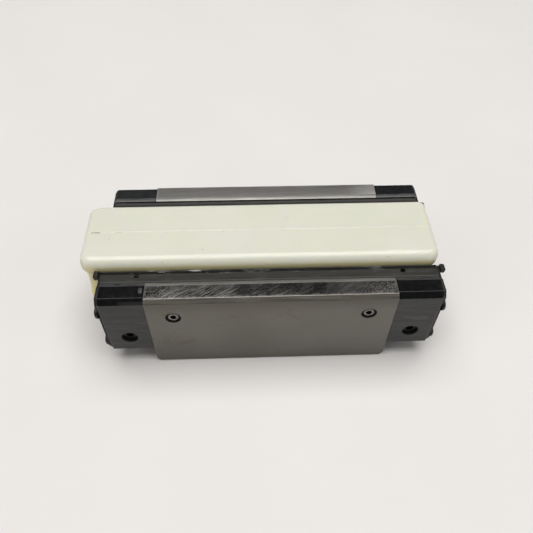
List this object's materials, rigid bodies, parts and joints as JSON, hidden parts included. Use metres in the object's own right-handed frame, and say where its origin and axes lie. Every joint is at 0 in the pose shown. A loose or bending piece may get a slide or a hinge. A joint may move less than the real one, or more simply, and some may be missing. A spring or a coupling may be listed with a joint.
{
  "type": "linear guide carriage",
  "caption": "Narrow, long linear guide carriage lying on its mounting face: steel block, plastic end caps, end and side seals, ball circuits, and a plastic shipping rail in its channel.",
  "frame": {"origin": "middle of the mounting face, which is also the centre of the four mounting holes", "axes": "+X along the rail, +Z from the mounting face towards the rail side; the carriage lies on its mounting face with the channel open upwards"},
  "size_m": [0.1911, 0.086, 0.0628],
  "materials": {
    "block_steel": "ground, dark, oiled",
    "cap_plastic": "moulded, satin black",
    "seal_rubber": "moulded black rubber",
    "strip_rubber": "extruded dark rubber",
    "gasket_rubber": "matte",
    "plate_steel": "blackened sheet",
    "screw_steel": "black oxide",
    "set_screw_steel": "grey phosphate",
    "plug_plastic": "black",
    "retainer_steel": "plain sheet",
    "ball_steel": "polished",
    "tube_plastic": "natural",
    "guide_plastic": "moulded",
    "shipping_rail_plastic": "moulded ivory, slightly translucent"
  },
  "bodies": {
    "carriage": {"balls_lower_far": "ball_steel", "balls_lower_near": "ball_steel", "balls_upper_far": "ball_steel", "balls_upper_near": "ball_steel", "cap_screws_left": "screw_steel", "cap_screws_right": "screw_steel", "carriage_block": "block_steel", "end_cap_left": "cap_plastic", "end_cap_right": "cap_plastic", "end_plate_left": "plate_steel", "end_plate_right": "plate_steel", "end_seal_left": "seal_rubber", "end_seal_right": "seal_rubber", "lube_gasket_left": "gasket_rubber", "lube_gasket_right": "gasket_rubber", "port_plugs_left": "plug_plastic", "port_plugs_right": "plug_plastic", "retainer_floor": "guide_plastic", "retainer_middle_far": "guide_plastic", "retainer_middle_near": "guide_plastic", "retainer_upper_far": "retainer_steel", "retainer_upper_near": "retainer_steel", "return_guide_lower_far_left": "guide_plastic", "return_guide_lower_far_right": "guide_plastic", "return_guide_lower_near_left": "guide_plastic", "return_guide_lower_near_right": "guide_plastic", "return_guide_upper_far_left": "guide_plastic", "return_guide_upper_far_right": "guide_plastic", "return_guide_upper_near_left": "guide_plastic", "return_guide_upper_near_right": "guide_plastic", "return_tube_lower_far": "tube_plastic", "return_tube_lower_near": "tube_plastic", "return_tube_upper_far": "tube_plastic", "return_tube_upper_near": "tube_plastic", "side_screws_far": "set_screw_steel", "side_screws_near": "set_screw_steel", "side_seal_far": "strip_rubber", "side_seal_near": "strip_rubber"},
    "shipping_rail": {"dummy_rail": "shipping_rail_plastic"}
  },
  "joints": [
    {"name": "rail_slide", "type": "slide", "parent": "carriage", "child": "shipping_rail", "axis": [1, 0, 0], "range_m": [-0.18, 0.19]}
  ]
}
